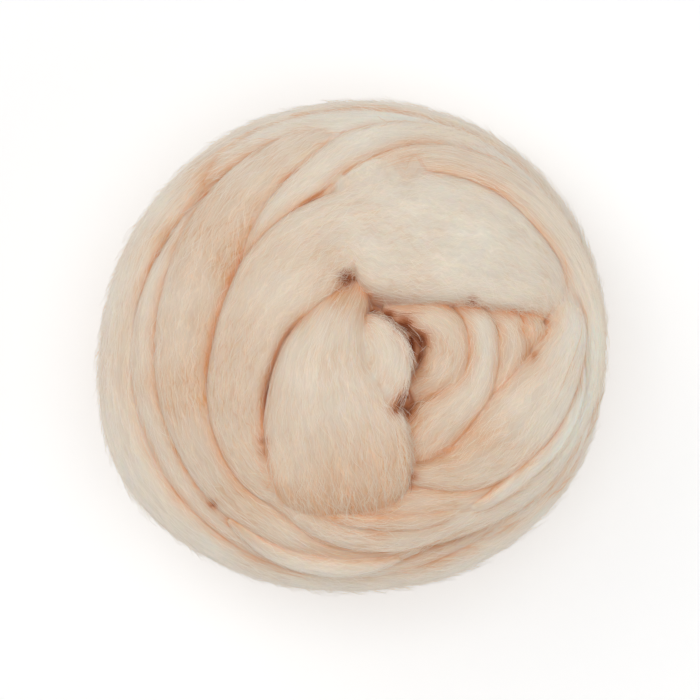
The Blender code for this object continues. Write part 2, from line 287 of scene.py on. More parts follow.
def smooth(values, share, closed=False):
    """The value at a share of the way along even stations, on a Catmull-Rom curve through them."""
    count = len(values)
    place = share * (count if closed else count - 1)
    i = math.floor(place) if closed else min(max(math.floor(place), 0), count - 2)
    t = place - i
    if closed:
        before, start, end, after = (values[(i + k) % count] for k in (-1, 0, 1, 2))
    else:
        start, end = values[i], values[i + 1]
        before = values[i - 1] if i else 2 * start - end
        after = values[i + 2] if i + 2 < count else 2 * end - start
    lean_in, lean_out = (end - before) / 2, (after - start) / 2
    rise = end - start
    return start + t * (lean_in + t * (3 * rise - 2 * lean_in - lean_out + t * (lean_in + lean_out - 2 * rise)))


def plan_share(x, y):
    """How far out a point in plan lies, as a share of the ball's outline on its side."""
    turned = Vector((x, y, 0)) @ Matrix.Rotation(math.radians(LONG_AZIMUTH), 3, "Z")
    return math.hypot(turned.x / LONG_HALF, turned.y / SHORT_HALF)


def on_ball(x, y, side=1):
    """The ball's point over a point in plan, or under it with side -1."""
    share = min(plan_share(x, y), OUTLINE_SHARE)
    return Vector((x, y, CENTRE_HEIGHT + side * HALF_HEIGHT * math.sqrt(1 - share * share)))


def girth_point(row, share):
    azimuth = row.high + 360 * share
    level = (row.height + row.rise * math.cos(2 * math.pi * share) - CENTRE_HEIGHT) / HALF_HEIGHT
    radius = math.sqrt(1 - level * level) / plan_share(*at_azimuth(azimuth, 1))
    return Vector((*at_azimuth(azimuth, radius), CENTRE_HEIGHT + level * HALF_HEIGHT))


def strap_point(row, share):
    along = row.reach * (2 * share - 1)
    ahead, aside = at_azimuth(row.heading, along), at_azimuth(row.heading + 90, row.offset)
    return on_ball(ahead[0] + aside[0], ahead[1] + aside[1], -1)


def turn_point(row, share):
    azimuth = row.azimuths[0] + (row.azimuths[1] - row.azimuths[0]) * share
    return on_ball(*at_azimuth(azimuth, smooth(row.radius, share)))


def under_turn_point(row, share):
    place = turn_point(row, share)
    return on_ball(place.x, place.y, -1)


def lock_point(row, share):
    return on_ball(smooth(row.x, share), smooth(row.y, share))


# The windings, and the spacing of their points.
Winding = namedtuple("Winding", "rows point_at steps")
WINDINGS = (
    Winding(GIRTHS, girth_point, SIDE_STEPS),
    Winding(STRAPS, strap_point, SIDE_STEPS),
    Winding(UNDER_TURNS, under_turn_point, SIDE_STEPS),
    Winding(TURNS, turn_point, TOP_STEPS),
    Winding(LOCKS, lock_point, TOP_STEPS),
)


def outward(point):
    """The ball's outward normal at a point on it."""
    turn = Matrix.Rotation(math.radians(LONG_AZIMUTH), 3, "Z")
    own = point @ turn
    slope = Vector((own.x / LONG_HALF**2, own.y / SHORT_HALF**2, (own.z - CENTRE_HEIGHT) / HALF_HEIGHT**2))
    return (turn @ slope).normalized()


def crown_arc(count):
    """Evenly spaced points over a crown, as shares of its width and of its height below the top."""
    angles = np.linspace(0, math.pi, ARC_SAMPLES)
    across = -np.sign(np.cos(angles)) * np.abs(np.cos(angles)) ** (2 / CROWN_FULLNESS) / 2
    up = np.abs(np.sin(angles)) ** (2 / CROWN_FULLNESS) - 1
    steps = np.hypot(np.diff(across), np.diff(up) * CROWN_SHARE)
    passed = np.concatenate(([0], np.cumsum(steps)))
    even = np.linspace(0, passed[-1], count)
    return np.interp(even, passed, across), np.interp(even, passed, up)


def groove_depth(across, along, ring, kind):
    """How deep the grooves lie at a spot of a turn, where ring is the length of a closed turn or 0."""
    depth = 0.0
    for groove in GROOVES:
        if ring:
            angle, reach = 2 * math.pi * along / ring, ring / groove.long / (2 * math.pi)
            spot = (across / groove.apart + kind, math.cos(angle) * reach, math.sin(angle) * reach)
        else:
            spot = (across / groove.apart + kind, along / groove.long, kind)
        depth += groove.depth * abs(noise.noise(spot)) * 2
    return depth


def width_at(row, share, length, kind):
    """A turn's width on its way: it swells and thins, and an open turn's ends are narrowed."""
    if isinstance(row, Girth):
        return smooth(row.width, share, True)
    swell = noise.noise((share * length / SWELL_LENGTH, kind * SWELL_APART, 0.5))
    left = min(share, 1 - share) * length / END_LENGTH
    narrowed = END_SHARE + (1 - END_SHARE) * math.sqrt(1 - max(0.0, 1 - left) ** 2)
    return smooth(row.width, share) * (1 + 2 * SWELL * swell) * narrowed


def turn_grid(row, winding, kind):
    """One turn's points as a grid, sections by points round, with what its surface needs to know."""
    closed = isinstance(row, Girth)
    samples = [winding.point_at(row, i / PATH_SAMPLES) for i in range(PATH_SAMPLES + 1)]
    length = sum((b - a).length for a, b in zip(samples, samples[1:]))
    along_step, across_step = winding.steps
    sections = round(length / along_step) + (0 if closed else 1)
    points = max(FEWEST_POINTS, round(max(row.width) * CROWN_LENGTH / across_step))
    across, up = crown_arc(points)
    grid = np.empty((sections, points + 2 * len(FLANK_STOPS), 3))
    mean = sum(row.width) / len(row.width)
    for i in range(sections):
        share = i / (sections if closed else sections - 1)
        place = winding.point_at(row, share)
        ahead = winding.point_at(row, share + NUDGE) - winding.point_at(row, share - NUDGE)
        side = ahead.cross(outward(place)).normalized()
        rise = side.cross(ahead).normalized()
        width = width_at(row, share, length, kind)
        crown = min(LOW_CROWNS.get(row.name, CROWN_SHARE) * width, MOST_CROWN)
        proud = smooth(row.proud, share, closed)
        if closed:
            proud += smooth(BULGES, math.degrees(math.atan2(place.y, place.x)) / 360 % 1.0, True)
        top = place + rise * proud
        for j in range(points):
            depth = groove_depth(across[j] * mean, share * length, length if closed else 0, kind)
            depth *= min(1.0, GROOVE_FADE * (0.5 - abs(across[j]))) * min(1.0, width / FULL_GROOVE_WIDTH)
            spot = top + side * (across[j] * width) + rise * (up[j] * crown - depth)
            grid[i, len(FLANK_STOPS) + j] = spot
        for k, stop in enumerate(FLANK_STOPS):
            foot = rise * (-crown - stop)
            grid[i, len(FLANK_STOPS) - 1 - k] = top - side * (width / 2) + foot
            grid[i, len(FLANK_STOPS) + points + k] = top + side * (width / 2) + foot
    return grid, length, mean, closed


class Shell:
    """One closed turn's points, faces and surface values."""

    def __init__(self, name, kind, number):
        self.name, self.kind, self.number = name, kind, number
        self.faces, self.lay, self.flow = [], [], []

    def add_turn(self, row, winding, start, end):
        grid, length, mean, closed = turn_grid(row, winding, self.kind)
        sections, around = grid.shape[:2]
        stops = len(FLANK_STOPS)
        shares = (np.arange(around) - stops) / (around - 2 * stops - 1)
        last = sections if closed else sections - 1
        first, final = round(start * last), round(end * last)
        grid = grid[first:final + 1]
        self.points = grid.reshape(-1, 3)
        for i in range(final - first):
            for j in range(around):
                ahead, beside = (i + 1) % len(grid), (j + 1) % around
                corners = ((i, j), (i, beside), (ahead, beside), (ahead, j))
                self.faces.append([a * around + b for a, b in corners])
                for a, b in ((i, j), (i, j + 1), (i + 1, j + 1), (i + 1, j)):
                    across = shares[b] if b < around else shares[-1] + 0.5
                    along = (first + a) / last
                    self.lay.append((across, self.kind + LAY_LENGTH * along))
                    self.flow.append((across * mean * MM, along * length * MM + self.kind))
        if not closed:
            for ring in (list(range(around))[::-1], [(len(grid) - 1) * around + j for j in range(around)]):
                self.add_face(ring)
        warmth = WARMTH.get(row.name, USUAL_WARMTH)
        warm = np.array([smooth(warmth, (first + i) / (sections - 1)) for i in range(len(grid))])[:, np.newaxis]
        # Its edges, by the creases, take more painted warm light.
        edge = np.minimum(np.abs(2 * shares - 1), 1.0) ** 2
        warm = (warm + EDGE_WARMTH.get(row.name, USUAL_EDGE_WARMTH) * (edge - MEAN_EDGE)).reshape(-1)
        self.values = dict(span=length * MM, wide=mean * MM, ring=float(closed), warm=warm, hollow=0.0)

    def add_face(self, corners):
        """A face that no fibre lies on."""
        self.faces.append(corners)
        self.lay += [OFF_THE_LAY] * len(corners)
        self.flow += [(0.0, 0.0)] * len(corners)

    def add_core(self):
        """The inside of the ball, which closes the gaps between turns, painted in the darkest shade where it shows.
        """
        halves = [half - CORE_DEPTH for half in (LONG_HALF, SHORT_HALF, HALF_HEIGHT)]
        turn = Matrix.Rotation(math.radians(LONG_AZIMUTH), 3, "Z")
        spots = []
        for i in range(1, CORE_RINGS):
            level = math.pi * i / CORE_RINGS
            for j in range(CORE_SEGMENTS):
                angle = 2 * math.pi * j / CORE_SEGMENTS
                spots.append((math.sin(level) * math.cos(angle), math.sin(level) * math.sin(angle), -math.cos(level)))
        spots += [(0, 0, -1), (0, 0, 1)]
        spots = [turn @ Vector([a * b for a, b in zip(spot, halves)]) for spot in spots]
        self.points = np.array([(spot.x, spot.y, spot.z + CENTRE_HEIGHT) for spot in spots])
        foot, head = len(spots) - 2, len(spots) - 1
        for j in range(CORE_SEGMENTS):
            k = (j + 1) % CORE_SEGMENTS
            rows = [(i * CORE_SEGMENTS + j, i * CORE_SEGMENTS + k) for i in range(CORE_RINGS - 1)]
            for (a, b), (c, d) in zip(rows, rows[1:]):
                self.add_face([a, b, d, c])
            self.add_face([foot, rows[0][1], rows[0][0]])
            self.add_face([head, rows[-1][0], rows[-1][1]])
        self.values = dict(span=1.0, wide=1.0, ring=0.0, warm=1.0, hollow=1.0)

    def as_object(self):
        spots = self.points
        for hollow in HOLLOWS:
            away = np.hypot(spots[:, 0] - hollow.x, spots[:, 1] - hollow.y)
            spots[:, 2] -= hollow.amount * np.exp(-(away / hollow.radius) ** 2) * (spots[:, 2] > CENTRE_HEIGHT)
        pale = np.radians(PALE_AZIMUTH)
        slant = (spots[:, 0] * np.cos(pale) + spots[:, 1] * np.sin(pale)) / LONG_HALF
        self.values["warm"] = self.values["warm"] - PALE_CHANGE * slant
        spots[:, :2] += AXIS
        data = bpy.data.meshes.new(self.name)
        data.from_pydata((spots * MM).tolist(), [], self.faces)
        for title, values in (("lay", self.lay), ("flow", self.flow)):
            layer = data.uv_layers.new(name=title)
            layer.data.foreach_set("uv", np.array(values, dtype=np.float32).reshape(-1))
        for title, value in self.values.items():
            layer = data.attributes.new(title, "FLOAT", "POINT")
            layer.data.foreach_set("value", np.array(np.broadcast_to(value, len(spots)), dtype=np.float32))
        layer = data.attributes.new("turn", "INT", "FACE")
        layer.data.foreach_set("value", np.full(len(self.faces), self.number, dtype=np.int32))
        data.shade_smooth()
        thing = bpy.data.objects.new(self.name, data)
        bpy.context.scene.collection.objects.link(thing)
        return thing


def wound_shells():
    """Every turn as a closed object of its own, and the core."""
    shells, kind = [], 0
    for winding in WINDINGS:
        for row in winding.rows:
            cuts = (0.0, PARTED[row.name], 1.0) if row.name in PARTED else (0.0, 1.0)
            for start, end in zip(cuts, cuts[1:]):
                shell = Shell(row.name, kind, len(shells))
                shell.add_turn(row, winding, start, end)
                shells.append(shell)
            kind += 1
    core = Shell("core", kind, len(shells))
    core.add_core()
    return [shell.as_object() for shell in (*shells, core)]


def gathered(name, things):
    """One object of several objects' meshes, left as they are."""
    copies = [thing.copy() for thing in things]
    for copy in copies:
        copy.data = copy.data.copy()
        bpy.context.scene.collection.objects.link(copy)
    with bpy.context.temp_override(active_object=copies[0], selected_editable_objects=copies):
        bpy.ops.object.join()
    copies[0].name = name
    return copies[0]


def outlook_rays():
    """Directions over a hemisphere about +Z, crowded towards its top."""
    rays = []
    for i in range(OUTLOOK_RAYS):
        rise = math.sqrt(1 - (i + 0.5) / OUTLOOK_RAYS * OUTLOOK_SPREAD)
        angle = i * math.pi * (3 - math.sqrt(5))
        flat = math.sqrt(1 - rise * rise)
        rays.append(Vector((flat * math.cos(angle), flat * math.sin(angle), rise)))
    return rays


def mark_outlook(piece):
    """Stores on each point how open it lies, from 0 deep in to 1 on a bare crown, and how far it is in a nook."""
    data = piece.data
    tree = BVHTree.FromPolygons([vert.co for vert in data.vertices], [polygon.vertices for polygon in data.polygons])
    rays, reach, near_reach = outlook_rays(), OUTLOOK_REACH * MM, NOOK_REACH * MM
    opens, nooks = np.zeros(len(data.vertices)), np.zeros(len(data.vertices))
    for i, vert in enumerate(data.vertices):
        facing = vert.normal.to_track_quat("Z", "Y")
        start = vert.co + vert.normal * (OUTLOOK_START * MM)
        for ray in rays:
            distance = tree.ray_cast(start, facing @ ray, reach)[3]
            if distance is None:
                opens[i] += 1
            else:
                opens[i] += STOPPED_RAY * distance / reach
                nooks[i] += max(0.0, 1 - distance / near_reach)
    for title, values, rounds in (("open", opens, OPEN_ROUNDS), ("nook", nooks, NOOK_ROUNDS)):
        store(data, title, neighbour_mean(data, values, rounds) / len(rays))


def tree_of(values):
    """The tree of nodes that the first linked value belongs to."""
    return next(value.id_data for value in values if isinstance(value, bpy.types.NodeSocket))


def place_node(tree, kind, inputs=None, **settings):
    """Adds a node, with its settings and with its inputs either linked or given a value."""
    made = tree.nodes.new(kind)
    for name, value in settings.items():
        setattr(made, name, value)
    for key, value in (inputs or {}).items():
        if isinstance(value, bpy.types.NodeSocket):
            tree.links.new(value, made.inputs[key])
        else:
            made.inputs[key].default_value = value
    return made


def maths(operation, *values, kind="ShaderNodeMath"):
    return place_node(tree_of(values), kind, dict(enumerate(values)), operation=operation).outputs[0]


times = partial(maths, "MULTIPLY")
divided = partial(maths, "DIVIDE")
added = partial(maths, "ADD")
minus = partial(maths, "SUBTRACT")
least = partial(maths, "MINIMUM")
most = partial(maths, "MAXIMUM")
is_over = partial(maths, "GREATER_THAN")
is_under = partial(maths, "LESS_THAN")
vectors = partial(maths, kind="ShaderNodeVectorMath")


def scaled(vector, factor):
    inputs = {0: vector, "Scale": factor}
    return place_node(vector.id_data, "ShaderNodeVectorMath", inputs, operation="SCALE").outputs[0]


def clouds(place, detail, scale=1.0, **more):
    inputs = {"Vector": place, "Scale": scale, "Detail": detail, **more}
    return place_node(place.id_data, "ShaderNodeTexNoise", inputs).outputs


def combined(*values):
    return place_node(tree_of(values), "ShaderNodeCombineXYZ", dict(enumerate(values))).outputs[0]


def named(tree, name, data_type="FLOAT"):
    node = place_node(tree, "GeometryNodeInputNamedAttribute", {"Name": name}, data_type=data_type)
    return node.outputs["Attribute"]


def nearest(tree, mesh, value, place, data_type="FLOAT"):
    """A mesh's own value at its spot nearest to a place."""
    node = place_node(tree, "GeometryNodeSampleNearestSurface", {"Mesh": mesh, "Sample Position": place},
                      data_type=data_type)
    tree.links.new(value, node.inputs["Value"])
    return node.outputs["Value"]


def shaped(name, start, *modifiers):
    """A plain mesh object from another one's mesh under some modifiers, each a kind with its settings."""
    thing = bpy.data.objects.new(name, start)
    bpy.context.scene.collection.objects.link(thing)
    for kind, settings in modifiers:
        modifier = thing.modifiers.new(kind.lower(), kind)
        for key, value in settings.items():
            if kind == "NODES" and key != "node_group":
                modifier[identifier_of(modifier.node_group, key)] = value
            else:
                setattr(modifier, key, value)
    bpy.context.view_layer.update()
    data = bpy.data.meshes.new_from_object(thing.evaluated_get(bpy.context.evaluated_depsgraph_get()))
    thing.modifiers.clear()
    thing.data = data
    data.name = name
    return thing


def identifier_of(tree, name):
    return next(item.identifier for item in tree.interface.items_tree if item.name == name and item.in_out == "INPUT")


def joined_skin(shells):
    """One closed skin round all the turns."""
    unions = [("BOOLEAN", dict(object=shell, operation="UNION", solver="MANIFOLD")) for shell in shells[1:]]
    skin = shaped("wound_roving", shells[0].data.copy(), *unions)
    skin.data.materials.clear()
    for vert in skin.data.vertices:
        vert.co.z = max(vert.co.z, 0.0)
    skin.data.shade_smooth()
    return skin


def places_of(data):
    places = np.empty(3 * len(data.vertices))
    data.vertices.foreach_get("co", places)
    return places.reshape(-1, 3)


def spot_shares(data, spots):
    """How much each point of the top belongs to each spot times its amount, one row for each spot."""
    places = places_of(data) / MM
    top = places[:, 2] > CENTRE_HEIGHT
    rows = []
    for spot in spots:
        away = (places[:, 0] - AXIS[0] - spot.x) ** 2 + (places[:, 1] - AXIS[1] - spot.y) ** 2
        rows.append(np.exp(-(away / spot.radius ** 2)) * top * spot.amount)
    return np.array(rows)


def neighbour_mean(data, values, rounds, share=1.0):
    """Values of the points, each blended with its neighbours' a number of times, the far ones counting for more."""
    edges = np.empty(2 * len(data.edges), dtype=np.int32)
    data.edges.foreach_get("vertices", edges)
    ends = edges.reshape(-1, 2)
    places = places_of(data)
    weights = ((places[ends[:, 0]] - places[ends[:, 1]]) ** 2).sum(axis=1)
    own = weights.mean()
    links = own + sum(np.bincount(ends[:, side], weights=weights, minlength=len(values)) for side in (0, 1))
    for _ in range(rounds):
        total = values * own
        for a, b in ((0, 1), (1, 0)):
            total += np.bincount(ends[:, a], weights=values[ends[:, b]] * weights, minlength=len(values))
        values = values + (total / links - values) * share
    return values


def drop_flaps(mesh):
    """Takes away the faces that lie twice on the same points."""
    found = {}
    for face in mesh.faces:
        found.setdefault(frozenset(face.verts), []).append(face)
    flaps = [face for faces in found.values() if len(faces) > 1 for face in faces]
    bmesh.ops.delete(mesh, geom=flaps, context="FACES")


def close_slivers(data):
    """Closes up the shortest edges of the skin where turns run into each other."""
    share = spot_shares(data, MELTS).max(axis=0)
    mesh = bmesh.new()
    mesh.from_mesh(data)
    mesh.verts.ensure_lookup_table()
    edges = [edge for edge in mesh.edges if min(share[vert.index] for vert in edge.verts) > MELT_SHARE]
    bmesh.ops.dissolve_degenerate(mesh, dist=SLIVER * MM, edges=edges)
    bmesh.ops.triangulate(mesh, faces=[face for face in mesh.faces if len(face.verts) > 3])
    drop_flaps(mesh)
    mesh.to_mesh(data)
    mesh.free()


def melt_creases(skin):
    """Smooths the skin where turns run into each other."""
    data = skin.data
    close_slivers(data)
    share = spot_shares(data, MELTS).max(axis=0)
    places = places_of(data)
    for axis in range(3):
        places[:, axis] = neighbour_mean(data, places[:, axis].copy(), MELT_ROUNDS, share)
    data.vertices.foreach_set("co", places.reshape(-1))
    data.update()


def store(data, name, values):
    layer = data.attributes.new(name, "FLOAT", "POINT")
    layer.data.foreach_set("value", np.asarray(values, dtype=np.float32))


def crease_spots(data):
    """Spots along the edges where two turns meet, each with its bend."""
    normals = [polygon.normal.copy() for polygon in data.polygons]
    turns = [item.value for item in data.attributes["turn"].data]
    sides = {}
    for polygon in data.polygons:
        for key in polygon.edge_keys:
            sides.setdefault(key, []).append(polygon.index)
    spots = []
    for (a, b), faces in sides.items():
        if len(faces) == 2 and turns[faces[0]] != turns[faces[1]]:
            bend = normals[faces[0]].angle(normals[faces[1]], 0.0)
            start, end = data.vertices[a].co, data.vertices[b].co
            steps = math.ceil((end - start).length / (CREASE_STEP * MM)) + 1
            spots += [(start.lerp(end, i / steps), bend) for i in range(steps)]
    return spots


def mark_creases(skin):
    """Stores how far each point is from a crease, and how sharp that crease is, from 0 for a flat one to 1."""
    data = skin.data
    spots = crease_spots(data)
    tree = KDTree(len(spots))
    for i, (spot, _) in enumerate(spots):
        tree.insert(spot, i)
    tree.balance()
    away, sharp = [], []
    for vert in data.vertices:
        found = tree.find_n(vert.co, CREASE_NEIGHBOURS)
        away.append(found[0][2])
        sharp.append(sum(spots[i][1] for _, i, _ in found) / len(found) / math.radians(SHARP_BEND))
    kept = 1 - spot_shares(data, MELTS).max(axis=0)
    for share in spot_shares(data, CREASE_CHANGES):
        kept *= 1 - share
    store(data, "crease", away)
    store(data, "sharp", np.minimum(sharp, 1.0) * kept)
    store(data, "dark", spot_shares(data, DARK_SPOTS).max(axis=0))
    store(data, "fuzz", spot_shares(data, FUZZY_SPOTS).max(axis=0))
    store(data, "glow", spot_shares(data, WARM_SPOTS).sum(axis=0))


def keep(tree, geometry, name, value, data_type="FLOAT"):
    """Stores a value on the geometry and returns the geometry."""
    node = place_node(tree, "GeometryNodeStoreNamedAttribute", {"Geometry": geometry, "Name": name},
                      domain="POINT", data_type=data_type)
    tree.links.new(value, node.inputs["Value"])
    return node.outputs["Geometry"]


# What the tree of fibres is given, by the kind of value. Its sizes are metres.
FIBRE_INPUTS = {
    "Object": ("Turns", "Skin"),
    "Int": ("Seed", "Points"),
    "Float": ("Density", "Patchy", "Above", "Below", "Short", "Long", "Thickness", "Wander", "Lift", "Tuck", "Curl",
              "Loose"),
    "Material": ("Light", "Middle", "Deep", "Shaded", "Tucked"),
}

# No fibre grows this near a crease, in metres, where it is sharper than this.
BARE_REACH = 0.0004
BARE_SHARP = 0.4

# The most of its turn that a fibre runs along, and how far past the turn's edges it may lie.
LONGEST_RUN = 0.9
LOWEST_ACROSS = -0.1
HIGHEST_ACROSS = 1.1

# How a fibre's drift differs from the next one's and changes along it, and how close its curls are.
DRIFT_APART = 7.31
DRIFT_CLOSENESS = 90.0
CURL_CLOSENESS = 260.0

# The lowest that a fibre lies over the floor, and how deep in the skin it is lost, in metres.
LOWEST_PLACE = (-1.0, -1.0, 0.0002)
BURIED = -0.0005

# A fibre is round enough with this many sides, and its tips have this share of its thickness.
FIBRE_SIDES = 3
TIP_SHARE = 0.35

# How a fibre's shade is worked out, and the edges between its colours: its own random tone and warmth, and painted
# shade where it lies closed in, in deep shade or by a sharp crease.
SHADE_STEP = 0.618
SHADE_SPREAD = 0.6
SHADE_WARMTH = 0.8
USUAL_OPENNESS = 0.7
SHADED_HELP = 0.2
PALE_IN_SHADE = 0.9
CREASE_SHADE_REACH = 0.001
LIGHT_EDGE = 0.35
DEEP_EDGE = 0.95
CREASE_SHADE_EDGE = 0.35
SHADED_EDGE = 0.45


def sharp_within(tree, reach):
    """How sharp the crease is that lies within a reach, or 0."""
    return times(named(tree, "sharp"), is_under(named(tree, "crease"), reach))


def random_value(tree, given, step, ends=()):
    """A random value for each point, from 0 to 1 or between two ends, with a seed of its own."""
    inputs = dict(enumerate(ends, 2), Seed=added(given["Seed"], step))
    return place_node(tree, "FunctionNodeRandomValue", inputs).outputs[1]


def fibre_points(tree, given, turns, skin):
    """Points spread over the skin, each with what its fibre has to know of its turn."""
    place = place_node(tree, "GeometryNodeInputPosition").outputs[0]
    level = place_node(tree, "ShaderNodeSeparateXYZ", {0: place}).outputs["Z"]
    within = times(is_over(level, given["Above"]), is_under(level, given["Below"]))
    spread = added(times(named(tree, "fuzz"), given["Patchy"]), minus(1.0, given["Patchy"]))
    density = times(times(within, spread), given["Density"])
    points = place_node(tree, "GeometryNodeDistributePointsOnFaces",
                        {"Mesh": skin, "Density": density, "Seed": given["Seed"]}).outputs["Points"]
    for name in ("span", "wide", "ring", "hollow"):
        points = keep(tree, points, name, nearest(tree, turns, named(tree, name), place))
    lay = nearest(tree, turns, named(tree, "lay", "FLOAT_VECTOR"), place, "FLOAT_VECTOR")
    points = keep(tree, points, "lay", lay, "FLOAT_VECTOR")
    bare = added(is_over(named(tree, "hollow"), 0.5), is_over(sharp_within(tree, BARE_REACH), BARE_SHARP))
    points = place_node(tree, "GeometryNodeDeleteGeometry", {"Geometry": points, "Selection": bare}).outputs[0]
    points = keep(tree, points, "number", place_node(tree, "GeometryNodeInputIndex").outputs[0])
    points = keep(tree, points, "chance", random_value(tree, given, 1))
    long = random_value(tree, given, 2, (given["Short"], given["Long"]))
    longest = times(named(tree, "span"), LONGEST_RUN)
    return keep(tree, points, "long", least(long, longest))


def straight_curves(tree, given, points):
    """A short curve on each point, to be laid out."""
    line = place_node(tree, "GeometryNodeCurvePrimitiveLine").outputs["Curve"]
    line = place_node(tree, "GeometryNodeResampleCurve", {"Curve": line, "Count": given["Points"]}).outputs["Curve"]
    curves = place_node(tree, "GeometryNodeInstanceOnPoints", {"Points": points, "Instance": line}).outputs[0]
    return place_node(tree, "GeometryNodeRealizeInstances", {"Geometry": curves}).outputs[0]


def lay_along(tree, lay, passed):
    """Where along its turn a fibre's spot lies: round a closed turn, and held inside an open one."""
    length, span, ring = named(tree, "long"), named(tree, "span"), named(tree, "ring")
    start, row = maths("FRACT", lay["Y"]), maths("FLOOR", lay["Y"])
    half = divided(divided(length, 2.0), span)
    inside = least(most(start, half), minus(LAY_LENGTH, half))
    middle = added(times(ring, start), times(minus(1.0, ring), inside))
    along = added(middle, divided(passed, span))
    return added(row, maths("WRAP", along, LAY_LENGTH, 0.0))


def lay_spot(tree, given, share):
    """A fibre's spot on the map of the turns, and the place in the noise that it drifts by."""
    passed = times(minus(share, 0.5), named(tree, "long"))
    lay = place_node(tree, "ShaderNodeSeparateXYZ", {0: named(tree, "lay", "FLOAT_VECTOR")}).outputs
    drift_at = combined(times(named(tree, "number"), DRIFT_APART), times(passed, DRIFT_CLOSENESS), given["Seed"])
    drift = minus(clouds(drift_at, 1.0)["Fac"], 0.5)
    aside = times(drift, times(given["Wander"], 2.0))
    across = added(lay["X"], divided(aside, named(tree, "wide")))
    across = least(most(across, LOWEST_ACROSS), HIGHEST_ACROSS)
    return combined(across, lay_along(tree, lay, passed)), drift_at


def turn_surface(tree, turns, spot):
    """The turns' place and normal at a spot of their map, and whether a turn is there at all."""
    samples = []
    for value in (place_node(tree, "GeometryNodeInputPosition").outputs[0],
                  place_node(tree, "GeometryNodeInputNormal").outputs["Normal"]):
        node = place_node(tree, "GeometryNodeSampleUVSurface", {"Mesh": turns, "Sample UV": spot},
                          data_type="FLOAT_VECTOR")
        tree.links.new(value, node.inputs["Value"])
        tree.links.new(named(tree, "lay", "FLOAT_VECTOR"), node.inputs["UV Map"])
        samples.append(node.outputs["Value"])
    return (*samples, node.outputs["Is Valid"])


def fibre_place(tree, given, share, arch, surface, normal, drift_at):
    """A fibre's place off its turn's surface: lifted in the middle or at a loose end, and curled there."""
    free = added(times(arch, minus(1.0, given["Loose"])), times(times(share, share), given["Loose"]))
    height = times(times(given["Lift"], free), named(tree, "chance"))
    tuck = times(given["Tuck"], minus(1.0, free))
    place = vectors("ADD", surface, scaled(normal, minus(height, tuck)))
    curl_at = vectors("ADD", scaled(place, CURL_CLOSENESS), drift_at)
    curl = vectors("SUBTRACT", clouds(curl_at, 0.0)["Color"], (0.5, 0.5, 0.5))
    curl = scaled(curl, times(given["Curl"], free))
    return vectors("MAXIMUM", vectors("ADD", place, curl), LOWEST_PLACE)


def without_lost(tree, curves, skin):
    """Takes away what runs off its turn or lies deep in the skin."""
    place = place_node(tree, "GeometryNodeInputPosition").outputs[0]
    over = vectors("SUBTRACT", place, nearest(tree, skin, place, place, "FLOAT_VECTOR"))
    normal = place_node(tree, "GeometryNodeInputNormal").outputs["Normal"]
    facing = nearest(tree, skin, normal, place, "FLOAT_VECTOR")
    height = place_node(tree, "ShaderNodeVectorMath", {0: over, 1: facing}, operation="DOT_PRODUCT").outputs["Value"]
    lost = added(is_under(named(tree, "valid"), 0.5), is_under(height, BURIED))
    return place_node(tree, "GeometryNodeDeleteGeometry", {"Geometry": curves, "Selection": lost}).outputs[0]


def fibre_tubes(tree, given, curves, arch):
    """A thin tapered tube along each curve."""
    profile = place_node(tree, "GeometryNodeCurvePrimitiveCircle",
                         {"Resolution": FIBRE_SIDES, "Radius": 1.0}).outputs["Curve"]
    taper = added(times(arch, 1 - TIP_SHARE), TIP_SHARE)
    scale = times(taper, given["Thickness"])
    scale = times(scale, added(named(tree, "chance"), 0.5))
    tubes = place_node(tree, "GeometryNodeCurveToMesh",
                       {"Curve": curves, "Profile Curve": profile, "Scale": scale, "Fill Caps": True}).outputs[0]
    return place_node(tree, "GeometryNodeRealizeInstances", {"Geometry": tubes}).outputs[0]


def coloured(tree, given, tubes):
    """Sets each fibre's material by its own tone and warmth, and by painted shade: where its place is closed in, by a
    sharp crease and in deep shade.
    """
    shade = maths("FRACT", times(named(tree, "number"), SHADE_STEP))
    shade = added(times(shade, SHADE_SPREAD), times(named(tree, "warm"), SHADE_WARMTH))
    shade = added(shade, minus(USUAL_OPENNESS, named(tree, "open")))
    shaded = added(named(tree, "dark"), times(shade, SHADED_HELP))
    shaded = minus(shaded, is_over(named(tree, "chance"), PALE_IN_SHADE))
    # Fibres by a sharp crease take the painted crease shade.
    tucked = sharp_within(tree, CREASE_SHADE_REACH)
    made = place_node(tree, "GeometryNodeSetMaterial", {"Geometry": tubes, "Material": given["Middle"]}).outputs[0]
    for chosen, name in ((is_under(shade, LIGHT_EDGE), "Light"), (is_over(shade, DEEP_EDGE), "Deep"),
                         (is_over(tucked, CREASE_SHADE_EDGE), "Tucked"), (is_over(shaded, SHADED_EDGE), "Shaded")):
        made = place_node(tree, "GeometryNodeSetMaterial",
                          {"Geometry": made, "Selection": chosen, "Material": given[name]}).outputs[0]
    return made


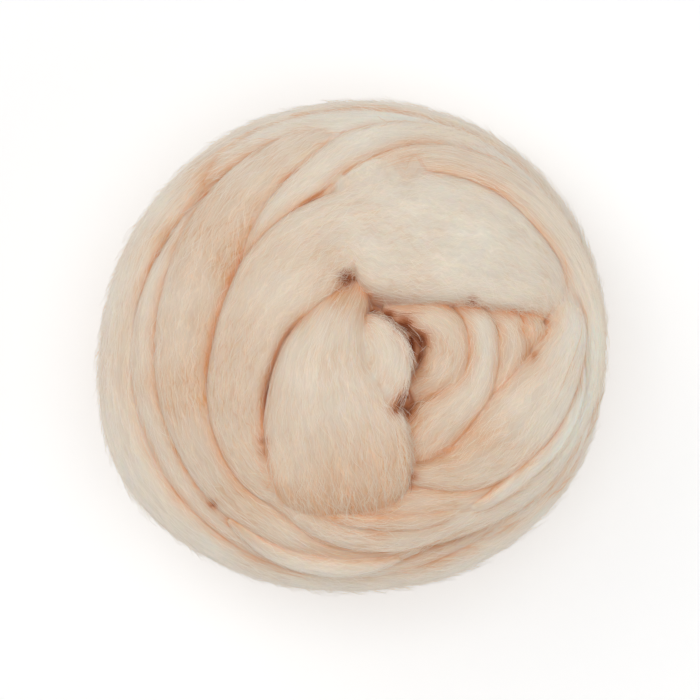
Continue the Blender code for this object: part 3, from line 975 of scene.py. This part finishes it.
def fibre_tree():
    """Fibres laid along the turns: each is centred on a point of the skin and follows its turn's own way."""
    tree = bpy.data.node_groups.new("laid_fibres", "GeometryNodeTree")
    for kind, names in FIBRE_INPUTS.items():
        for name in names:
            tree.interface.new_socket(name=name, in_out="INPUT", socket_type="NodeSocket" + kind)
    tree.interface.new_socket(name="Geometry", in_out="OUTPUT", socket_type="NodeSocketGeometry")
    given = tree.nodes.new("NodeGroupInput").outputs
    turns, skin = (place_node(tree, "GeometryNodeObjectInfo", {"Object": given[name]}).outputs["Geometry"]
                   for name in ("Turns", "Skin"))
    curves = straight_curves(tree, given, fibre_points(tree, given, turns, skin))
    share = place_node(tree, "GeometryNodeSplineParameter").outputs["Factor"]
    arch = times(times(share, minus(1.0, share)), 4.0)
    spot, drift_at = lay_spot(tree, given, share)
    surface, normal, valid = turn_surface(tree, turns, spot)
    place = fibre_place(tree, given, share, arch, surface, normal, drift_at)
    curves = keep(tree, curves, "valid", valid)
    curves = place_node(tree, "GeometryNodeSetPosition", {"Geometry": curves, "Position": place}).outputs[0]
    tubes = fibre_tubes(tree, given, without_lost(tree, curves, skin), arch)
    tree.links.new(coloured(tree, given, tubes), tree.nodes.new("NodeGroupOutput").inputs["Geometry"])
    return tree


def grown(name, tree, **values):
    """Fibres or hairs as a plain mesh object."""
    thing = shaped(name, bpy.data.meshes.new(name), ("NODES", dict(node_group=tree, **values)))
    mesh = bmesh.new()
    mesh.from_mesh(thing.data)
    drop_flaps(mesh)
    mesh.to_mesh(thing.data)
    mesh.free()
    return thing


# Wool's colours: cream and peach, between which its own tone runs, and painted shade: reddish down in a crease,
# in deep shade, and darkest in the pits and on the core.
CREAM = (0.86, 0.77, 0.65)
PEACH = (0.77, 0.55, 0.38)
CREASE_SHADE_COLOUR = (0.78, 0.40, 0.20)
SHADE = (0.55, 0.22, 0.10)
DARKEST_SHADE = (0.20, 0.042, 0.011)

# How rough and how glossy things are, and a fibre's own roughness and sheen.
ROUGH = 0.85
GLOSS = 0.2
FIBRE_ROUGH = 0.7
FIBRE_SHEEN = 0.15

# A fibre's colours, by the tree's own names for them: the first three are its own tones, chosen in part as
# painted light and shade, lighter where it lies open and deeper where closed in; the fourth is painted deep shade
# and the last painted crease shade.
FIBRE_COLOURS = {
    "Light": (0.95, 0.87, 0.77),
    "Middle": (0.89, 0.79, 0.66),
    "Deep": (0.80, 0.60, 0.42),
    "Shaded": (0.44, 0.16, 0.07),
    "Tucked": (0.85, 0.53, 0.32),
}

# The layers of combed fibres: spacing, length, crimp, lean off the turn's way and the lines' fineness.
COMBED_INPUTS = ("Apart", "Long", "Crimp", "Lean", "Fine")
COMBED_LAYERS = {
    "fine": (0.0004, 0.010, 0.0012, 0.0, 0.05),
    "left": (0.0006, 0.007, 0.0016, 0.16, 0.045),
    "right": (0.0006, 0.008, 0.0016, -0.14, 0.045),
    "broad": (0.0018, 0.030, 0.0030, 0.02, 0.05),
    "warm": (0.0012, 0.014, 0.0022, -0.03, 0.05),
}
CRIMP_CLOSENESS = (150.0, 220.0)
STREAK_ROUGHNESS = 0.6

# Painted crease shade: a reddish line along a crease and a glow of painted warm bounced light beside it, in
# metres, and the glow's share of the line.
LINE_REACH = 0.0009
GLOW_REACH = 0.0042
GLOW_SHARE = 0.48

# How deep light goes into the wool, its sheen, and the bumps of its hairs in metres.
WOOL_SOFTNESS = {"Subsurface Weight": 0.6, "Subsurface Radius": (1.0, 0.6, 0.35), "Subsurface Scale": 0.0025,
                 "Sheen Roughness": 0.5}
WOOL_BUMPS = {"Strength": 0.4, "Distance": 0.0001}

# How values are mapped in the wool: where each one's range starts and ends, and what its ends become.
SHUT_RAMP = (0.93, 0.3, 0.0, 0.85)
NOOK_RAMP = (0.02, 0.3, 0.0, 1.0)
FADING_RAMP = (0.35, 0.65, 0.5, 1.0)
TINT_RAMP = (0.3, 0.7, -0.22, 0.3)
STRAND_RAMP = (0.4, 0.6, 0.1, 0.7)
WARM_STRAND_RAMP = (0.2, 1.0, 0.5, 1.0)
HAIR_RAMP = (0.35, 0.65, 0.3, 1.0)
BRIGHT_RAMP = (0.3, 1.0, 0.06, 0.13)
SHINE_RAMP = (0.3, 0.7, 0.91, 1.02)
BROKEN_SHADE_RAMP = (0.0, 1.0, 1.0, 0.6)
SHADE_RAMP = (0.0, 0.6, 0.0, 1.0)
DARK_RAMP = (0.4, 1.0, 0.0, 1.0)
SHEEN_RAMP = (0.0, 0.5, 0.2, 0.0)

# How much more the warm strands show where painted crease shade lies.
CREASE_SHADE_STRANDS = 1.5

# The clouds that tint the wool and that the painted crease shade fades by.
TINT_CLOUDS = 45.0
CREASE_CLOUDS = 75.0


def combed_group():
    """The combed fibres along a turn, from the flow map in metres: soft streaks and fine lines."""
    tree = bpy.data.node_groups.new("combed_fibres", "ShaderNodeTree")
    for name in COMBED_INPUTS:
        tree.interface.new_socket(name=name, in_out="INPUT", socket_type="NodeSocketFloat")
    for name in ("Streak", "Line"):
        tree.interface.new_socket(name=name, in_out="OUTPUT", socket_type="NodeSocketFloat")
    given = tree.nodes.new("NodeGroupInput").outputs
    flow = place_node(tree, "ShaderNodeUVMap", uv_map="flow").outputs[0]
    parts = place_node(tree, "ShaderNodeSeparateXYZ", {0: flow}).outputs
    where = combined(*(times(parts[i], CRIMP_CLOSENESS[i]) for i in range(2)))
    sway = minus(clouds(where, 2.0)["Fac"], 0.5)
    shift = times(sway, given["Crimp"])
    leant = added(parts["X"], times(parts["Y"], given["Lean"]))
    across = divided(added(leant, shift), given["Apart"])
    along = divided(parts["Y"], given["Long"])
    streak = clouds(combined(across, along), 1.0, Roughness=STREAK_ROUGHNESS)["Fac"]
    off = maths("ABSOLUTE", minus(streak, 0.5))
    ends = tree.nodes.new("NodeGroupOutput").inputs
    tree.links.new(streak, ends["Streak"])
    tree.links.new(ranged(off, 0.0, given["Fine"], 1.0, 0.0), ends["Line"])
    return tree


def new_material(name, colour, roughness=ROUGH):
    material = bpy.data.materials.new(name)
    material.use_nodes = True
    shader = material.node_tree.nodes["Principled BSDF"]
    shader.inputs["Base Color"].default_value = (*colour, 1.0)
    shader.inputs["Roughness"].default_value = roughness
    shader.inputs["Specular IOR Level"].default_value = GLOSS
    return material, material.node_tree, shader


def ranged(value, low, high, start, end, **settings):
    """A value's range mapped onto another one, and held at its ends."""
    inputs = {0: value, 1: low, 2: high, 3: start, 4: end}
    return place_node(value.id_data, "ShaderNodeMapRange", inputs, **settings).outputs[0]


def mixed(factor, below, above):
    """One colour turned into another by a factor, which may be below 0."""
    ends = [(*colour, 1.0) if isinstance(colour, tuple) else colour for colour in (below, above)]
    return place_node(factor.id_data, "ShaderNodeMix", {0: factor, 6: ends[0], 7: ends[1]}, data_type="RGBA",
                      clamp_factor=False).outputs[2]


def marked(tree, name):
    return place_node(tree, "ShaderNodeAttribute", attribute_name=name).outputs["Fac"]


def crease_shade_amount(tree, place):
    """How strongly painted crease shade shows at a spot, from 0 to about 1: where it lies closed in or near a sharp
    crease.
    """
    line, glow = (ranged(marked(tree, "crease"), 0.0, reach, share, 0.0, interpolation_type="SMOOTHSTEP")
                  for reach, share in ((LINE_REACH, 1.0), (GLOW_REACH, GLOW_SHARE)))
    line = times(most(line, glow), marked(tree, "sharp"))
    shut, nook = ranged(marked(tree, "open"), *SHUT_RAMP), ranged(marked(tree, "nook"), *NOOK_RAMP)
    fading = ranged(clouds(place, 1.0, CREASE_CLOUDS)["Fac"], *FADING_RAMP)
    return times(most(most(shut, nook), line), fading)


def combed_layers(tree, combed):
    layers = {}
    for layer, sizes in COMBED_LAYERS.items():
        group = place_node(tree, "ShaderNodeGroup", node_tree=combed)
        for name, size in zip(COMBED_INPUTS, sizes):
            group.inputs[name].default_value = size
        layers[layer] = group.outputs
    return layers


def wool_tint(tree, layers, place, tucked):
    """The wool's colour between cream and peach, with warm strands, and painted crease shade, reddish, down in a
    crease.
    """
    cloud = clouds(place, 3.0, TINT_CLOUDS)["Fac"]
    tint = added(added(marked(tree, "warm"), ranged(cloud, *TINT_RAMP)), marked(tree, "glow"))
    strand = times(layers["warm"]["Line"], ranged(cloud, *STRAND_RAMP))
    warmer = added(times(tucked, CREASE_SHADE_STRANDS), ranged(marked(tree, "warm"), *WARM_STRAND_RAMP))
    tint = added(tint, times(strand, warmer))
    return mixed(tucked, mixed(tint, CREAM, PEACH), CREASE_SHADE_COLOUR)


def darkened(tree, colour, hairs):
    """The colour in deep shade, which the fine hairs break up, and how deep the shade is."""
    gap = times(marked(tree, "dark"), ranged(hairs, *BROKEN_SHADE_RAMP))
    gap = most(gap, marked(tree, "hollow"))
    colour = mixed(ranged(gap, *SHADE_RAMP), colour, SHADE)
    return mixed(ranged(gap, *DARK_RAMP), colour, DARKEST_SHADE), gap


def wool_material(combed):
    material, tree, shader = new_material("combed_wool", CREAM)
    layers = combed_layers(tree, combed)
    place = place_node(tree, "ShaderNodeTexCoord").outputs["Object"]
    # The painted crease shade goes into the colour here.
    colour = wool_tint(tree, layers, place, crease_shade_amount(tree, place))
    streak = added(times(layers["fine"]["Streak"], 0.5), times(layers["broad"]["Streak"], 0.5))
    hairs = added(layers["left"]["Line"], layers["right"]["Line"])
    hairs = times(hairs, ranged(layers["broad"]["Streak"], *HAIR_RAMP))
    bright = ranged(marked(tree, "warm"), *BRIGHT_RAMP)
    shine = added(ranged(streak, *SHINE_RAMP), times(hairs, bright))
    colour, gap = darkened(tree, scaled(colour, shine), hairs)
    tree.links.new(colour, shader.inputs["Base Color"])
    height = added(streak, times(hairs, 0.5))
    bump = place_node(tree, "ShaderNodeBump", {"Height": height, **WOOL_BUMPS})
    tree.links.new(bump.outputs[0], shader.inputs["Normal"])
    for name, value in WOOL_SOFTNESS.items():
        shader.inputs[name].default_value = value
    tree.links.new(ranged(gap, *SHEEN_RAMP), shader.inputs["Sheen Weight"])
    return material


def fibre_material(name, colour):
    material, _, shader = new_material(name, colour, FIBRE_ROUGH)
    shader.inputs["Sheen Weight"].default_value = FIBRE_SHEEN
    return material


# Each kind of fibre: its points, its shortest and longest, its thickness and how it lies, in metres.
KIND_INPUTS = ("Points", "Short", "Long", "Thickness", "Wander", "Lift", "Tuck", "Curl", "Loose")
KINDS = {
    "laid": (12, 0.02, 0.045, 0.00004, 0.0018, 0.0003, 0.00006, 0.0006, 0.0),
    "hair": (5, 0.004, 0.009, 0.000036, 0.0026, 0.0006, 0.00005, 0.0016, 0.6),
    "stray": (6, 0.005, 0.011, 0.00005, 0.003, 0.002, 0.00005, 0.005, 0.7),
    "fuzz": (5, 0.003, 0.007, 0.00006, 0.002, 0.0018, 0.00005, 0.004, 0.8),
    "curly": (7, 0.004, 0.009, 0.00005, 0.003, 0.0016, 0.00005, 0.006, 0.8),
}

# Each piece of fibres: how many to a square metre, its seed, the levels in metres between which they grow, and
# whether they grow at the fuzzy spots alone.
TOP_LEVEL = 0.052
SIDE_LEVEL = 0.001
NO_LEVEL = 1.0
GROWTH_INPUTS = ("Density", "Seed", "Above", "Below", "Patchy")
GROWTHS = {
    "top_fibres": ("laid", (50000.0, 10, TOP_LEVEL, NO_LEVEL, 0.0)),
    "side_fibres": ("laid", (25000.0, 30, SIDE_LEVEL, TOP_LEVEL, 0.0)),
    "top_hairs": ("hair", (340000.0, 50, TOP_LEVEL, NO_LEVEL, 0.0)),
    "side_hairs": ("hair", (160000.0, 60, SIDE_LEVEL, TOP_LEVEL, 0.0)),
    "top_strays": ("stray", (50000.0, 70, TOP_LEVEL, NO_LEVEL, 0.0)),
    "side_strays": ("stray", (50000.0, 80, SIDE_LEVEL, TOP_LEVEL, 0.0)),
    "rim_fuzz": ("fuzz", (260000.0, 90, 0.018, 0.056, 0.0)),
    "curly_fuzz": ("curly", (1500000.0, 95, TOP_LEVEL, NO_LEVEL, 1.0)),
}


def grow_fibres(turns, skin):
    tree = fibre_tree()
    common = {name: fibre_material(name.lower() + "_fibre", colour) for name, colour in FIBRE_COLOURS.items()}
    common.update(Turns=turns, Skin=skin)
    return [grown(name, tree, **dict(zip(KIND_INPUTS, KINDS[kind])), **dict(zip(GROWTH_INPUTS, values)), **common)
            for name, (kind, values) in GROWTHS.items()]


# The floor, in metres, and how far it and the room glow.
FLOOR_REACH = 3.0
FLOOR_LEVEL = -0.0003
FLOOR_COLOUR = (0.85, 0.85, 0.85)
FLOOR_GLOW = 0.30
ROOM_GLOW = 0.30

# The studio's round lamps, in metres and watts.
Lamp = namedtuple("Lamp", "name place size power")
LAMPS = (
    Lamp("key", (-0.9, 0.75, 1.5), 1.2, 6.5),
    Lamp("top", (0.0, 0.0, 1.8), 1.6, 13.5),
    Lamp("fill", (1.2, -0.6, 0.9), 1.0, 2.1),
)

# The camera looks straight down, and one frame's width spans this much at the ball's middle height.
VIEW_CENTRE = (-1.52, -0.81)
VIEW_WIDTH = 192.9
VIEW_HEIGHT = 2500.0
SENSOR = 36.0
FARTHEST = 20.0

# Light passes between the ball's turns this many times.
LIGHT_PASSES = 6


def lay_floor(scene):
    data = bpy.data.meshes.new("floor")
    corners = [(x * FLOOR_REACH, y * FLOOR_REACH, FLOOR_LEVEL) for x, y in ((-1, -1), (1, -1), (1, 1), (-1, 1))]
    data.from_pydata(corners, [], [(0, 1, 2, 3)])
    material, _, shader = new_material("pale_floor", FLOOR_COLOUR)
    shader.inputs["Emission Color"].default_value = (1, 1, 1, 1)
    shader.inputs["Emission Strength"].default_value = FLOOR_GLOW
    data.materials.append(material)
    floor = bpy.data.objects.new("floor", data)
    scene.collection.objects.link(floor)


def light_studio(scene):
    world = bpy.data.worlds.new("studio")
    world.use_nodes = True
    room = world.node_tree.nodes["Background"].inputs
    room["Color"].default_value = (1.0, 1.0, 1.0, 1.0)
    room["Strength"].default_value = ROOM_GLOW
    scene.world = world
    for row in LAMPS:
        light = bpy.data.lights.new(row.name, "AREA")
        light.shape = "DISK"
        light.size = row.size
        light.energy = row.power
        lamp = bpy.data.objects.new(row.name, light)
        lamp.location = row.place
        lamp.rotation_euler = Vector(row.place).to_track_quat("Z", "Y").to_euler()
        scene.collection.objects.link(lamp)
    scene.view_settings.view_transform = "Standard"
    scene.cycles.diffuse_bounces = LIGHT_PASSES


def set_camera(scene):
    camera = bpy.data.cameras.new("camera")
    camera.sensor_width = SENSOR
    camera.lens = SENSOR * VIEW_HEIGHT / VIEW_WIDTH
    camera.clip_end = FARTHEST
    eye = bpy.data.objects.new("camera", camera)
    eye.location = (VIEW_CENTRE[0] * MM, VIEW_CENTRE[1] * MM, (VIEW_HEIGHT + CENTRE_HEIGHT) * MM)
    scene.collection.objects.link(eye)
    scene.camera = eye


def main():
    scene = bpy.context.scene
    lay_floor(scene)
    light_studio(scene)
    set_camera(scene)
    shells = wound_shells()
    turns = gathered("turns", shells)
    skin = joined_skin(shells)
    for shell in shells:
        bpy.data.objects.remove(shell)
    mark_creases(skin)
    melt_creases(skin)
    mark_outlook(skin)
    skin.data.materials.append(wool_material(combed_group()))
    fibres = grow_fibres(turns, skin)
    bpy.data.objects.remove(turns)
    for piece in (skin, *fibres):
        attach(piece, "root")
    for piece in fibres:
        piece.visible_shadow = False
    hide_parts(NODE)


main()
